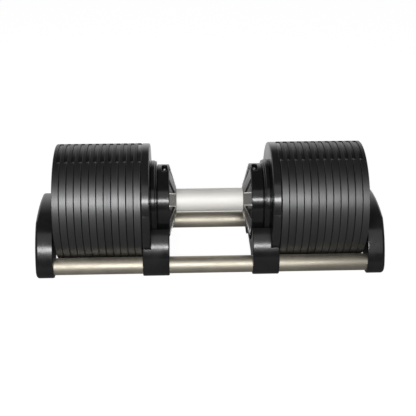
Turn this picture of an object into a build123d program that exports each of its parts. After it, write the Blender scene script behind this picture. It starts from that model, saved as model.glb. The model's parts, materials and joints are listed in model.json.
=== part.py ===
from build123d import *
import math
import os

# Adjustable dumbbell docked in its cradle, in millimetres.
# X runs along the grip, -Y faces the user and +Z is up.
# The origin is on the floor, under the middle of the grip.

# Weight plates, counted outwards from each head
PLATE_COUNT = 12
PLATE_RADIUS = 82.5
PLATE_PITCH = 10.0
PLATE_GAP = 0.3
PLATE_CHAMFER = 0.7
PLATE_THICKNESS = PLATE_PITCH - PLATE_GAP

# Dovetail that hangs each plate on its inner neighbour
DOVETAIL_HALF_WIDTH = 29.0
DOVETAIL_UNDERCUT = 3.0
DOVETAIL_DEPTH = 4.7
DOVETAIL_FIT = 0.3
TONGUE_RADIUS = 81.0

# Head of the dumbbell: lengths along X, from the grip outwards
GRIP_HALF_LENGTH = 47.5
SHOULDER_LENGTH = 9.7
HOUSING_LENGTH = 17.6
FLANGE_LENGTH = 9.2
END_DISC_LENGTH = 11.6
HOUSING_START = GRIP_HALF_LENGTH + SHOULDER_LENGTH
FLANGE_START = HOUSING_START + HOUSING_LENGTH
END_DISC_START = FLANGE_START + FLANGE_LENGTH
END_DISC_END = END_DISC_START + END_DISC_LENGTH
PLATE_START = END_DISC_END + PLATE_GAP

# Head of the dumbbell: radii, walls and edges
END_DISC_STEP = 0.2
END_DISC_RADIUS = PLATE_RADIUS - END_DISC_STEP
END_DISC_EDGE = 1.2
PARTING_HEIGHT = 17.0
PARTING_WIDTH = 0.5
PARTING_DEPTH = 0.6
HOUSING_RADIUS = 52.0
FLANGE_LIP = 5.7
FLANGE_RADIUS = HOUSING_RADIUS + FLANGE_LIP
FLANGE_STEP = 1.0
FLANGE_STEP_LENGTH = 2.3
HOUSING_WALL = 4.3
HOUSING_FRONT_WALL = 2.3
HOUSING_EDGE = 0.8
SHADOW_GROOVE = 1.0
SHADOW_GROOVE_DEPTH = 2.5
WINDOW_WIDTH = 7.8
WINDOW_LENGTH = 22.0
WINDOW_PLACE = 6.6
SHOULDER_WALL = 3.0
SHOULDER_TIP_WALL = 1.5
RIB_COUNT = 8
RIB_TURN = 62.0
RIB_WIDTH = 17.5
RIB_RISE = 1.6

# Grip and twist drive
GRIP_RADIUS = 16.5
GRIP_WALL = 1.5
GRIP_EDGE = 0.5
SLEEVE_WALL = 3.4
CORE_WALL = 2.2
RUNNING_FIT = 0.1
PRESS_FIT = 0.05
GRIP_RUNNING_GAP = 0.3
TWIST_RANGE = 330.0
ROD_INSET = 0.7
ROD_SPLIT = 0.3
ROD_LEAD_IN = 0.8
FOLLOWER_RADIUS = 2.0
FOLLOWER_FROM_END = 8.0
FOLLOWER_ROOT = 4.0
FOLLOWER_TIP_GAP = 0.3
GROOVE_SIDE_GAP = 0.3
GROOVE_DEPTH = 2.2
GROOVE_OVERLAP = 0.5
GROOVE_STAGGER = 0.15
PLATE_BORE_GAP = 0.6
GRIP_BORE = GRIP_RADIUS - GRIP_WALL
SLEEVE_RADIUS = GRIP_BORE - PRESS_FIT
SLEEVE_BORE = SLEEVE_RADIUS - SLEEVE_WALL
CORE_RADIUS = SLEEVE_BORE - RUNNING_FIT
CORE_BORE = CORE_RADIUS - CORE_WALL
ROD_RADIUS = CORE_BORE - RUNNING_FIT
ROD_TRAVEL = PLATE_COUNT * PLATE_PITCH
ROD_END = END_DISC_END - ROD_INSET
FOLLOWER_START = -ROD_TRAVEL / 2
SLEEVE_END = FLANGE_START - GRIP_RUNNING_GAP

# Number drum and the lock that holds it once the dumbbell leaves the cradle
DRUM_GAP = 0.5
DRUM_RIM = 4.0
DRUM_WEB = 2.4
DRUM_HUB_WALL = 5.0
LOCK_TRAVEL = 3.0
LOCK_PIN_RADIUS = 1.9
LOCK_PIN_FIT = 0.1
LOCK_PIN_PLACE = 3.2
LOCK_PIN_RECESS = 1.5
LOCK_LUG_WIDTH = 3.2
LOCK_LUG_HEIGHT = 3.4
LOCK_LUG_REACH = 2.0
LOCK_LUG_GAP = 0.6
NOTCH_GAP = 0.4
GUIDE_HEIGHT = 3.5
GUIDE_WIDTH = 8.0
GUIDE_WALL = 1.5
SPRING_LENGTH = 8.0
SPRING_WIRE = 0.8
DRUM_RADIUS = HOUSING_RADIUS - HOUSING_WALL - DRUM_GAP
DRUM_START = HOUSING_START + HOUSING_FRONT_WALL + DRUM_GAP
LOCK_PIN_X = FLANGE_START - LOCK_PIN_PLACE
LOCK_PIN_TIP = LOCK_PIN_RECESS - HOUSING_RADIUS
LOCK_LUG_BASE = LOCK_LUG_GAP + DRUM_RIM - DRUM_RADIUS
LOCK_LUG_TOP = LOCK_LUG_BASE + LOCK_LUG_HEIGHT
SPRING_TOP = LOCK_LUG_TOP + SPRING_LENGTH
GUIDE_TOP = SPRING_TOP + GUIDE_HEIGHT
DRUM_END = LOCK_PIN_X - LOCK_PIN_RADIUS - DRUM_GAP
GUIDE_START = LOCK_PIN_X - LOCK_PIN_RADIUS - GUIDE_WALL
DRUM_HUB_END = GUIDE_START - DRUM_GAP

# Cradle
RAIL_RADIUS = 12.0
RAIL_WALL = 1.5
RAIL_HALF_SPACING = 65.5
RAIL_FIT = 0.1
RAIL_END_GAP = 0.5
SEAT_GAP = 0.3
SUPPORT_EDGE = 1.5
END_SUPPORT_GAP = 4.3
END_SUPPORT_START = PLATE_START + ROD_TRAVEL - PLATE_GAP + END_SUPPORT_GAP
END_SUPPORT_LENGTH = 24.5
END_SUPPORT_WALL = 4.0
END_SUPPORT_END_WALL = 6.0
END_SUPPORT_EDGE = 4.0
END_SUPPORT_LEAN = 13.0
END_SUPPORT_CROWN = 43.5
END_SUPPORT_DROP = 8.0
SADDLE_GAP = 1.1
SADDLE_START = HOUSING_START + SADDLE_GAP
SADDLE_LENGTH = END_DISC_END - SADDLE_START
SADDLE_WALL = 3.0
SADDLE_LEAN = 0.0
SADDLE_CROWN = 38.0
SADDLE_DROP = 6.5
CRADLE_GAP = 0.4
CROWN_RISE = 4.5
CROWN_CORNER = 3.5
ARCH_HALF_WIDTH = 46.0
ARCH_HEIGHT = 22.0
ARCH_CORNER = 10.0
RAIL_WINDOW_HALF_WIDTH = 7.0
FOOT_RADIUS = 7.0
FOOT_HEIGHT = 3.0
FOOT_RECESS = 1.5
FOOT_INSET = 11.5

# Fasteners
RAIL_SCREW_RADIUS = 2.2
RAIL_SCREW_HEAD = 4.0
RAIL_SCREW_HEAD_HEIGHT = 1.3
RAIL_SCREW_LENGTH = 8.0
HEAD_SCREW_RADIUS = 2.5
HEAD_SCREW_HEAD = 4.5
HEAD_SCREW_HEAD_HEIGHT = 3.0
HEAD_SCREW_LENGTH = 17.0
HEAD_SCREW_Y = 39.0
HEAD_SCREW_Z = 16.0
SCREW_GAP = 0.1

# Heights above the floor: the plates lie on both rails
RAIL_HEIGHT = FOOT_HEIGHT + SADDLE_WALL + RAIL_RADIUS
AXIS_TO_RAIL = PLATE_RADIUS + RAIL_RADIUS + SEAT_GAP
AXIS_HEIGHT = RAIL_HEIGHT + math.sqrt(AXIS_TO_RAIL**2 - RAIL_HALF_SPACING**2)

UP_TO_AXIS = Pos(0, 0, AXIS_HEIGHT)
TO_LEFT = Rot(0, 0, 180)
SAME = 1e-6


def bar(start, end, radius):
    """Round bar about the X axis between two places along it."""
    return Pos((start + end) / 2, 0, 0) * Rot(0, 90, 0) * Cylinder(radius, end - start)


def upright(low, high, radius):
    """Round bar about the Z axis between two heights."""
    return Pos(0, 0, (low + high) / 2) * Cylinder(radius, high - low)


def tube(start, end, radius, bore):
    """Round tube about the X axis."""
    return bar(start, end, radius) - bar(start, end, bore)


def block(x, y, z):
    """Box from the low and high end along each axis."""
    size = Box(x[1] - x[0], y[1] - y[0], z[1] - z[0])
    return Pos(sum(x) / 2, sum(y) / 2, sum(z) / 2) * size


def revolved(points):
    """Solid of revolution about X from an outline of (x, radius) points."""
    outline = make_face(Polyline(*[(x, 0, r) for x, r in points], close=True))
    return revolve(outline, Axis.X)


def rim_edges(shape, radius):
    """Circular edges of a given radius, for chamfers."""
    circles = shape.edges().filter_by(GeomType.CIRCLE)
    return circles.filter_by(lambda edge: abs(edge.radius - radius) < SAME)


def dovetail(depth_from, depth_to, inset, reach):
    """Dovetail prism along Z. Depth 0 is the face that the dovetail is cut into."""
    flare = DOVETAIL_UNDERCUT / DOVETAIL_DEPTH
    near = DOVETAIL_HALF_WIDTH + flare * depth_from - inset
    far = DOVETAIL_HALF_WIDTH + flare * depth_to - inset
    outline = Polyline(
        (depth_from, -near), (depth_to, -far), (depth_to, far), (depth_from, near), close=True
    )
    return extrude(make_face(outline), amount=reach, both=True)


def dovetail_slot():
    """Slot cut right across a plate's inner face, open at the top and the bottom."""
    return dovetail(0, DOVETAIL_DEPTH, 0, PLATE_RADIUS)


def dovetail_tongue():
    """Tongue that stands in the next plate's slot. X = 0 is that plate's inner face."""
    tip = DOVETAIL_DEPTH - DOVETAIL_FIT
    strip = dovetail(-PLATE_GAP, tip, DOVETAIL_FIT, TONGUE_RADIUS)
    return strip & bar(-PLATE_GAP, tip, TONGUE_RADIUS)


def plate(outermost):
    """Weight plate with its inner face at X = 0."""
    body = bar(0, PLATE_THICKNESS, PLATE_RADIUS)
    body = chamfer(rim_edges(body, PLATE_RADIUS), PLATE_CHAMFER)
    if not outermost:
        body += Pos(PLATE_PITCH, 0, 0) * dovetail_tongue()
    body -= dovetail_slot()
    return body - bar(0, PLATE_PITCH + DOVETAIL_DEPTH, ROD_RADIUS + PLATE_BORE_GAP)


def head_screw_places():
    """The four screws that hold an end disc to its flange."""
    return [Pos(0, side * HEAD_SCREW_Y, end * HEAD_SCREW_Z) for side in (-1, 1) for end in (-1, 1)]


def head_screw(gap=0.0):
    """Cap screw with its head under the end disc's outer face. The gap makes its hole."""
    under_head = END_DISC_END - HEAD_SCREW_HEAD_HEIGHT
    shank = bar(END_DISC_END - HEAD_SCREW_LENGTH - gap, under_head, HEAD_SCREW_RADIUS + gap)
    return shank + bar(under_head, END_DISC_END, HEAD_SCREW_HEAD + gap)


def end_disc():
    """Thick disc that closes the head and carries the first plate."""
    body = bar(END_DISC_START, END_DISC_END, END_DISC_RADIUS)
    body = chamfer(rim_edges(body, END_DISC_RADIUS), END_DISC_EDGE)
    rim = tube(END_DISC_START, END_DISC_END, END_DISC_RADIUS, END_DISC_RADIUS - PARTING_DEPTH)
    body -= rim & block(
        (END_DISC_START, END_DISC_END),
        (-END_DISC_RADIUS, END_DISC_RADIUS),
        (PARTING_HEIGHT, PARTING_HEIGHT + PARTING_WIDTH),
    )
    body += Pos(PLATE_START, 0, 0) * dovetail_tongue()
    body -= bar(END_DISC_START, END_DISC_END, CORE_RADIUS + PRESS_FIT)
    body -= bar(END_DISC_END, PLATE_START + DOVETAIL_DEPTH, ROD_RADIUS + PLATE_BORE_GAP)
    for place in head_screw_places():
        body -= place * head_screw(SCREW_GAP)
    return body


def lock_guide():
    """Block on the flange that guides the lock pin's upper end."""
    return block(
        (GUIDE_START, FLANGE_START),
        (-GUIDE_WIDTH / 2, GUIDE_WIDTH / 2),
        (SPRING_TOP, GUIDE_TOP),
    )


def flange():
    """Disc between the housing and the end disc. The cradle carries the head by it."""
    groove = FLANGE_RADIUS - SHADOW_GROOVE_DEPTH
    step = FLANGE_START + FLANGE_STEP_LENGTH
    body = bar(FLANGE_START, step, FLANGE_RADIUS - FLANGE_STEP)
    body += bar(step, END_DISC_START - SHADOW_GROOVE, FLANGE_RADIUS)
    body = chamfer(rim_edges(body, FLANGE_RADIUS), HOUSING_EDGE)
    body = chamfer(rim_edges(body, FLANGE_RADIUS - FLANGE_STEP).sort_by(Axis.X)[0], HOUSING_EDGE)
    body += bar(END_DISC_START - SHADOW_GROOVE, END_DISC_START, groove)
    body += lock_guide()
    body -= bar(FLANGE_START, END_DISC_START, CORE_RADIUS + PRESS_FIT)
    body -= lock_pin_bore()
    for place in head_screw_places():
        body -= place * head_screw(SCREW_GAP)
    return body


def dial_housing():
    """Cup round the number drum, with a window at the top and the lock pin's hole below."""
    lip = FLANGE_START - SHADOW_GROOVE
    body = bar(HOUSING_START, lip, HOUSING_RADIUS)
    body = chamfer(rim_edges(body, HOUSING_RADIUS), HOUSING_EDGE)
    body += bar(lip, FLANGE_START, HOUSING_RADIUS - SHADOW_GROOVE_DEPTH)
    body -= bar(HOUSING_START + HOUSING_FRONT_WALL, FLANGE_START, HOUSING_RADIUS - HOUSING_WALL)
    body -= bar(HOUSING_START, FLANGE_START, GRIP_RADIUS + GRIP_RUNNING_GAP)
    window = SlotOverall(WINDOW_LENGTH, WINDOW_WIDTH, rotation=90)
    body -= Pos(HOUSING_START + WINDOW_PLACE, 0, 0) * extrude(window, amount=HOUSING_RADIUS)
    return body - lock_pin_bore()


def shoulder(turn):
    """Cone from the housing to the grip. Hollows in its slope leave flat ribs, one facing the user."""
    bore = GRIP_RADIUS + GRIP_RUNNING_GAP
    tip = bore + SHOULDER_TIP_WALL
    rim = HOUSING_RADIUS - HOUSING_EDGE
    drop = RIB_RISE * (rim - tip) / SHOULDER_LENGTH
    inside = bore + SHOULDER_WALL
    cone = revolved([
        (GRIP_HALF_LENGTH, bore),
        (GRIP_HALF_LENGTH, tip),
        (HOUSING_START, rim),
        (HOUSING_START, rim - drop - SHOULDER_WALL),
        (HOUSING_START - SHOULDER_LENGTH / 2, inside),
        (HOUSING_START, inside),
        (HOUSING_START, bore),
    ])
    above_hollows = revolved([
        (GRIP_HALF_LENGTH, tip),
        (GRIP_HALF_LENGTH + RIB_RISE, tip),
        (HOUSING_START, rim - drop),
        (HOUSING_START, HOUSING_RADIUS),
        (GRIP_HALF_LENGTH, HOUSING_RADIUS),
    ])
    step = 360 / RIB_COUNT
    half_step = math.radians(step / 2)
    apex = RIB_WIDTH / 2 / math.sin(half_step)
    corner = (HOUSING_RADIUS * math.sin(half_step), apex + HOUSING_RADIUS * math.cos(half_step))
    between_ribs = make_face(Polyline((0, apex), corner, (-corner[0], corner[1]), close=True))
    wedge = Pos(GRIP_HALF_LENGTH, 0, 0) * extrude(Plane.YZ * between_ribs, amount=SHOULDER_LENGTH)
    hollow = above_hollows & wedge
    for count in range(RIB_COUNT):
        cone -= Rot(turn * RIB_TURN + step * (count + turn / 2), 0, 0) * hollow
    return cone


def grip_tube():
    """Steel grip that the hand turns."""
    end = HOUSING_START + HOUSING_FRONT_WALL
    body = tube(-end, end, GRIP_RADIUS, GRIP_BORE)
    return chamfer(rim_edges(body, GRIP_RADIUS), GRIP_EDGE)


def helix_groove(left_rod):
    """Helical groove that drives one rod. The left one is of the other hand and a little deeper."""
    depth = GROOVE_DEPTH + GROOVE_STAGGER if left_rod else GROOVE_DEPTH
    half_width = FOLLOWER_RADIUS + GROOVE_SIDE_GAP
    run_out = half_width + GROOVE_SIDE_GAP
    turn_rate = TWIST_RANGE / ROD_TRAVEL
    lead = 360 / turn_rate
    radius = SLEEVE_BORE + (depth - GROOVE_OVERLAP) / 2
    path = Helix(lead, ROD_TRAVEL + 2 * run_out, radius, lefthand=not left_rod)
    profile = Rectangle(depth + GROOVE_OVERLAP, 2 * half_width)
    section = Plane(path @ 0, x_dir=(1, 0, 0), z_dir=path % 0) * profile
    cut = Rot(0, 90, 0) * sweep(section, path=path, is_frenet=True)
    if left_rod:
        angle = 180 - TWIST_RANGE - turn_rate * run_out
    else:
        angle = turn_rate * run_out
    return Pos(FOLLOWER_START - run_out, 0, 0) * Rot(90 + angle, 0, 0) * cut


def drive_sleeve():
    """Sleeve fixed in the grip. Its two helical grooves push the rods apart."""
    body = tube(-SLEEVE_END, SLEEVE_END, SLEEVE_RADIUS, SLEEVE_BORE)
    body -= helix_groove(left_rod=False)
    return body - helix_groove(left_rod=True)


def core_tube():
    """Fixed tube that joins both heads. Its slots keep the follower pins from turning."""
    body = tube(-END_DISC_END, END_DISC_END, CORE_RADIUS, CORE_BORE)
    half = FOLLOWER_RADIUS + RUNNING_FIT
    low = FOLLOWER_START - half
    high = FOLLOWER_START + ROD_TRAVEL + half
    slot = block((low, high), (0, CORE_RADIUS), (-half, half))
    return body - slot - TO_LEFT * slot


def rod():
    """Right half-round rod, drawn in. It fills the rear half of the core tube."""
    inner = FOLLOWER_START - FOLLOWER_FROM_END
    body = bar(inner, ROD_END, ROD_RADIUS)
    body = chamfer(rim_edges(body, ROD_RADIUS).sort_by(Axis.X)[-1], ROD_LEAD_IN)
    body &= block((inner, ROD_END), (ROD_SPLIT / 2, ROD_RADIUS), (-ROD_RADIUS, ROD_RADIUS))
    return body - follower_pin(FOLLOWER_RADIUS + PRESS_FIT)


def follower_pin(radius):
    """Pin from the rod, through the core tube's slot, into the sleeve's groove."""
    tip = SLEEVE_BORE + GROOVE_DEPTH - FOLLOWER_TIP_GAP
    pin = Rot(90, 0, 0) * Cylinder(radius, tip - FOLLOWER_ROOT)
    return Pos(FOLLOWER_START, (tip + FOLLOWER_ROOT) / 2, 0) * pin


def lock_pin_bore():
    """Hole through the housing and the guide for the lock pin."""
    return Pos(LOCK_PIN_X, 0, 0) * upright(-FLANGE_RADIUS, GUIDE_TOP, LOCK_PIN_RADIUS + LOCK_PIN_FIT)


def lock_pin():
    """Sprung pin, pushed up by the cradle. Its lug drops into a notch of the drum when lifted."""
    lug = block(
        (DRUM_END - LOCK_LUG_REACH, LOCK_PIN_X),
        (-LOCK_LUG_WIDTH / 2, LOCK_LUG_WIDTH / 2),
        (LOCK_LUG_BASE, LOCK_LUG_TOP),
    )
    return lug + Pos(LOCK_PIN_X, 0, 0) * upright(LOCK_PIN_TIP, GUIDE_TOP, LOCK_PIN_RADIUS)


def lock_spring():
    """Spring round the lock pin, between its lug and the guide."""
    bore = LOCK_PIN_RADIUS + LOCK_PIN_FIT
    coil = upright(LOCK_LUG_TOP, SPRING_TOP, bore + SPRING_WIRE) - upright(LOCK_LUG_TOP, SPRING_TOP, bore)
    return Pos(LOCK_PIN_X, 0, 0) * coil


def number_drum(turn):
    """Drum that carries the numbers past the window. Its lock notches follow the way it turns."""
    body = tube(DRUM_START, DRUM_END, DRUM_RADIUS, DRUM_RADIUS - DRUM_RIM)
    body += bar(DRUM_START, DRUM_START + DRUM_WEB, DRUM_RADIUS)
    body += bar(DRUM_START, DRUM_HUB_END, SLEEVE_RADIUS + DRUM_HUB_WALL)
    body -= bar(DRUM_START, DRUM_HUB_END, SLEEVE_RADIUS + PRESS_FIT)
    half = LOCK_LUG_WIDTH / 2 + NOTCH_GAP
    notch = block(
        (DRUM_END - LOCK_LUG_REACH - NOTCH_GAP, DRUM_END),
        (-half, half),
        (LOCK_LUG_BASE - LOCK_TRAVEL - NOTCH_GAP, LOCK_LUG_BASE),
    )
    for setting in range(PLATE_COUNT + 1):
        body -= Rot(-turn * TWIST_RANGE / PLATE_COUNT * setting, 0, 0) * notch
    return body


def support_base(wall):
    """Height of a support's underside, by its wall under the rails."""
    return RAIL_HEIGHT - RAIL_RADIUS - wall


def support_outline(wall, lean, half_width, drop):
    """Side view of a cradle support: round under the rails, bowed sides, crowned top."""
    boss = RAIL_RADIUS + wall
    lean = math.radians(lean)
    under_rail = (RAIL_HALF_SPACING, support_base(wall))
    beside_rail = (RAIL_HALF_SPACING + boss * math.cos(lean), RAIL_HEIGHT + boss * math.sin(lean))
    corner = (half_width, AXIS_HEIGHT - drop)
    side = [
        Line((0, support_base(wall)), under_rail),
        RadiusArc(under_rail, beside_rail, -boss),
        TangentArc(beside_rail, corner, tangent=(-math.sin(lean), math.cos(lean))),
    ]
    crown = SagittaArc(corner, (-half_width, corner[1]), -CROWN_RISE)
    outline = make_face(Curve() + side + crown + [mirror(edge, about=Plane.YZ) for edge in side])
    corners = outline.vertices().sort_by(Axis.Y)[-2:]
    return Plane.YZ * fillet(corners, CROWN_CORNER)


def support_spans():
    """Start along X, length and wall of the saddle and the end support."""
    return [
        (SADDLE_START, SADDLE_LENGTH, SADDLE_WALL),
        (END_SUPPORT_START, END_SUPPORT_LENGTH, END_SUPPORT_WALL),
    ]


def rail_screws(start, length, wall, gap=0.0):
    """Screws from below through a support into both rails. The gap makes their holes."""
    head = upright(0, RAIL_SCREW_HEAD_HEIGHT + gap, RAIL_SCREW_HEAD + gap)
    shank = upright(0, RAIL_SCREW_LENGTH + gap, RAIL_SCREW_RADIUS + gap)
    spots = [Pos(start + length / 2, side * RAIL_HALF_SPACING, support_base(wall)) for side in (-1, 1)]
    return [spot * (head + shank) for spot in spots]


def feet(start, length, wall, gap=0.0):
    """Rubber feet set into a support's underside, inside the rails. The gap makes their recesses."""
    pad = upright(0, support_base(wall) + FOOT_RECESS, FOOT_RADIUS + gap)
    spot = RAIL_HALF_SPACING - FOOT_INSET
    return [Pos(start + length / 2, side * spot, 0) * pad for side in (-1, 1)]


def support_cuts(start, length, wall):
    """What every support is relieved by: the arch below, the screws and the feet."""
    arch = Rectangle(2 * ARCH_HALF_WIDTH, ARCH_HEIGHT, align=(Align.CENTER, Align.MIN))
    arch = fillet(arch.vertices().sort_by(Axis.Y)[-2:], ARCH_CORNER)
    cut = Pos(start, 0, 0) * extrude(Plane.YZ * arch, amount=length)
    span = (start, length, wall)
    return [cut] + rail_screws(*span, SCREW_GAP) + feet(*span, SCREW_GAP)


def rail_bores(start, end):
    """Bores for both rails."""
    bore = bar(start, end, RAIL_RADIUS + RAIL_FIT)
    return [Pos(0, side * RAIL_HALF_SPACING, RAIL_HEIGHT) * bore for side in (-1, 1)]


def end_support():
    """Cheek that closes the right end of the cradle and caps both rails."""
    end = END_SUPPORT_START + END_SUPPORT_LENGTH
    outline = support_outline(END_SUPPORT_WALL, END_SUPPORT_LEAN, END_SUPPORT_CROWN, END_SUPPORT_DROP)
    body = Pos(END_SUPPORT_START, 0, 0) * extrude(outline, amount=END_SUPPORT_LENGTH)
    body = fillet(body.faces().filter_by(Axis.X).sort_by(Axis.X)[-1].edges(), END_SUPPORT_EDGE)
    body = fillet(body.faces().filter_by(Axis.X).sort_by(Axis.X)[0].edges(), SUPPORT_EDGE)
    bores = rail_bores(END_SUPPORT_START, end - END_SUPPORT_END_WALL)
    for cut in bores + support_cuts(END_SUPPORT_START, END_SUPPORT_LENGTH, END_SUPPORT_WALL):
        body -= cut
    return body


def release_post():
    """Post in the saddle that pushes the lock pin up while the dumbbell is docked."""
    top = AXIS_HEIGHT + LOCK_PIN_TIP - SEAT_GAP
    low = AXIS_HEIGHT - FLANGE_RADIUS - CRADLE_GAP - SADDLE_WALL
    return Pos(LOCK_PIN_X, 0, 0) * upright(low, top, LOCK_PIN_RADIUS - SEAT_GAP)


def saddle():
    """Right saddle: carries the flange in its hollow and lets the end disc down to the rails."""
    disc_cut = END_DISC_START - CRADLE_GAP
    outline = support_outline(SADDLE_WALL, SADDLE_LEAN, SADDLE_CROWN, SADDLE_DROP)
    body = Pos(SADDLE_START, 0, 0) * extrude(outline, amount=SADDLE_LENGTH)
    body = fillet(body.faces().filter_by(Axis.X).edges(), SUPPORT_EDGE)
    body -= UP_TO_AXIS * bar(SADDLE_START, END_DISC_END, FLANGE_RADIUS + CRADLE_GAP)
    body -= UP_TO_AXIS * bar(disc_cut, END_DISC_END, END_DISC_RADIUS + CRADLE_GAP)
    bores = rail_bores(SADDLE_START, END_DISC_END)
    for cut in bores + support_cuts(SADDLE_START, SADDLE_LENGTH, SADDLE_WALL):
        body -= cut
    lean = math.degrees(math.asin(RAIL_HALF_SPACING / AXIS_TO_RAIL))
    window = block(
        (disc_cut, END_DISC_END),
        (-RAIL_WINDOW_HALF_WIDTH, RAIL_WINDOW_HALF_WIDTH),
        (-AXIS_TO_RAIL, 0),
    )
    for side in (-1, 1):
        body -= UP_TO_AXIS * Rot(side * lean, 0, 0) * window
    return body + release_post()


def rail(side):
    """Chrome tube along the cradle, at the front or the rear."""
    end = END_SUPPORT_START + END_SUPPORT_LENGTH - END_SUPPORT_END_WALL - RAIL_END_GAP
    body = tube(-end, end, RAIL_RADIUS, RAIL_RADIUS - RAIL_WALL)
    body = Pos(0, side * RAIL_HALF_SPACING, RAIL_HEIGHT) * body
    for hole in both_ends(rail_screws, SCREW_GAP):
        body -= hole
    return body


def both_ends(make, gap=0.0):
    """What is made for the saddle and the end support, at both ends of the cradle."""
    right = [solid for span in support_spans() for solid in make(*span, gap)]
    return right + [TO_LEFT * solid for solid in right]


def left_and_right(name, shape):
    """A head's piece at both ends, raised to the grip axis."""
    return {
        f"right_{name}": UP_TO_AXIS * shape,
        f"left_{name}": UP_TO_AXIS * TO_LEFT * shape,
    }


def cradle():
    """Everything that stays on the floor."""
    right_saddle = saddle()
    right_end = end_support()
    return {
        "front_rail": rail(-1),
        "rear_rail": rail(1),
        "right_saddle": right_saddle,
        "left_saddle": TO_LEFT * right_saddle,
        "right_end_support": right_end,
        "left_end_support": TO_LEFT * right_end,
        "rubber_feet": Compound(both_ends(feet)),
        "rail_screws": Compound(both_ends(rail_screws)),
    }


def handle():
    """Both heads, the grip and the twist drive between them."""
    screws = [place * head_screw() for place in head_screw_places()]
    parts = {
        "core_tube": UP_TO_AXIS * core_tube(),
        "grip_tube": UP_TO_AXIS * grip_tube(),
        "drive_sleeve": UP_TO_AXIS * drive_sleeve(),
        "head_screws": UP_TO_AXIS * Compound(screws + [TO_LEFT * screw for screw in screws]),
        "right_shoulder": UP_TO_AXIS * shoulder(turn=1),
        "left_shoulder": UP_TO_AXIS * TO_LEFT * shoulder(turn=-1),
        "right_number_drum": UP_TO_AXIS * number_drum(turn=1),
        "left_number_drum": UP_TO_AXIS * TO_LEFT * number_drum(turn=-1),
    }
    heads = {
        "end_disc": end_disc(),
        "flange": flange(),
        "dial_housing": dial_housing(),
        "lock_pin": lock_pin(),
        "lock_spring": lock_spring(),
        "rod": rod(),
        "follower_pin": follower_pin(FOLLOWER_RADIUS),
    }
    for name, shape in heads.items():
        parts |= left_and_right(name, shape)
    return parts


def plates():
    """Twelve plates at each end. Only the outermost has a plain outer face."""
    inner = plate(outermost=False)
    last = plate(outermost=True)
    parts = {}
    for number in range(1, PLATE_COUNT + 1):
        shape = last if number == PLATE_COUNT else inner
        place = Pos(PLATE_START + (number - 1) * PLATE_PITCH, 0, 0)
        parts |= left_and_right(f"plate_{number:02d}", place * shape)
    return parts


os.makedirs("parts", exist_ok=True)
for node, shape in (cradle() | handle() | plates()).items():
    export_step(shape, f"parts/{node}.step")
    print(node, round(shape.volume / 1000, 2), "cm3")
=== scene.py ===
# %% [markdown]
# # An adjustable dumbbell in its cradle
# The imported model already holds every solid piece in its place, in metres: plates, heads,
# grip, rails and supports. This lesson adds what a CAD model lacks: the light, the camera and
# the finish of each surface, and the small pieces that repeat, such as the numbers on the drums.

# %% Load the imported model
import json
import math

import bmesh
import bpy
from mathutils import Matrix, Vector


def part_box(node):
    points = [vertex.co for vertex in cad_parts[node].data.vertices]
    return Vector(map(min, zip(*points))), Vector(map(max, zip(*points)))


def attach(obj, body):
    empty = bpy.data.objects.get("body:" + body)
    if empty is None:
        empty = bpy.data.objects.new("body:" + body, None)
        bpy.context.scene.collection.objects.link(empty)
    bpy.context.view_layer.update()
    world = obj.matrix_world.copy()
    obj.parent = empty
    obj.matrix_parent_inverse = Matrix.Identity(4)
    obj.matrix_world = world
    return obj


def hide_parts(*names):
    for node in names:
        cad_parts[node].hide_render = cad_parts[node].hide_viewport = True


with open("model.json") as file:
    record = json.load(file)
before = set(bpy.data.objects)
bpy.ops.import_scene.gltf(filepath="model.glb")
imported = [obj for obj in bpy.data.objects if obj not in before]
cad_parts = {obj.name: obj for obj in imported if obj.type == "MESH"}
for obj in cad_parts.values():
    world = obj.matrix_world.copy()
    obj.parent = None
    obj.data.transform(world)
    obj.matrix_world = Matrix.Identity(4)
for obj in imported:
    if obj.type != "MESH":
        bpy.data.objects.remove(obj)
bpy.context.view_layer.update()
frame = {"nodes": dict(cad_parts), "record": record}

nodes = frame["nodes"]

# %% [markdown]
# ## Camera
# A camera is a place, a direction and a lens. The object was seen from the front, a little to
# its left, looking down by 28 degrees. A long lens from over a metre away keeps the rims of the
# plates nearly parallel. Blender wants the lens in millimetres, so it is worked out from the focal
# length in image pixels.

# %% Camera
IMAGE_PIXELS = 416
FOCAL_PIXELS = 881.4
SENSOR_MM = 36.0
CAMERA_PLACE = Vector((-0.0463, -1.1258, 0.6756))
YAW, PITCH, ROLL = (math.radians(angle) for angle in (2.257, 28.141, 0.233))


def show(name, data):
    """Object at the origin that puts a mesh, a lamp, a camera or a text into the scene."""
    thing = bpy.data.objects.new(name, data)
    bpy.context.scene.collection.objects.link(thing)
    return thing


forward = Vector((math.sin(YAW) * math.cos(PITCH), math.cos(YAW) * math.cos(PITCH), -math.sin(PITCH)))
level = Vector((math.cos(YAW), -math.sin(YAW), 0))
upward = level.cross(forward)
camera_x = level * math.cos(ROLL) + upward * math.sin(ROLL)
camera_y = upward * math.cos(ROLL) - level * math.sin(ROLL)
turn = Matrix((camera_x, camera_y, -forward)).transposed().to_4x4()

lens = bpy.data.cameras.new("front_camera")
lens.sensor_width = SENSOR_MM
lens.lens = FOCAL_PIXELS * SENSOR_MM / IMAGE_PIXELS
camera = show("front_camera", lens)
camera.matrix_world = Matrix.Translation(CAMERA_PLACE) @ turn
bpy.context.scene.camera = camera
print("lens", round(lens.lens, 1), "mm")

# %% [markdown]
# ## Node helpers
# A shader is a small graph. Writing each node in three lines hides the idea behind the typing,
# so one helper makes a node, sets its options, and fills each input with a number or a link. Three
# more use it for the sums, ranges and mixed colours that most of the graphs are made of.

# %% Node helpers
# A Mix node has a set of sockets for each type of data. These are the ones for numbers and colours.
NUMBER_A, NUMBER_B = 2, 3
COLOUR_A, COLOUR_B, COLOUR_OUT = 6, 7, 2


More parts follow.
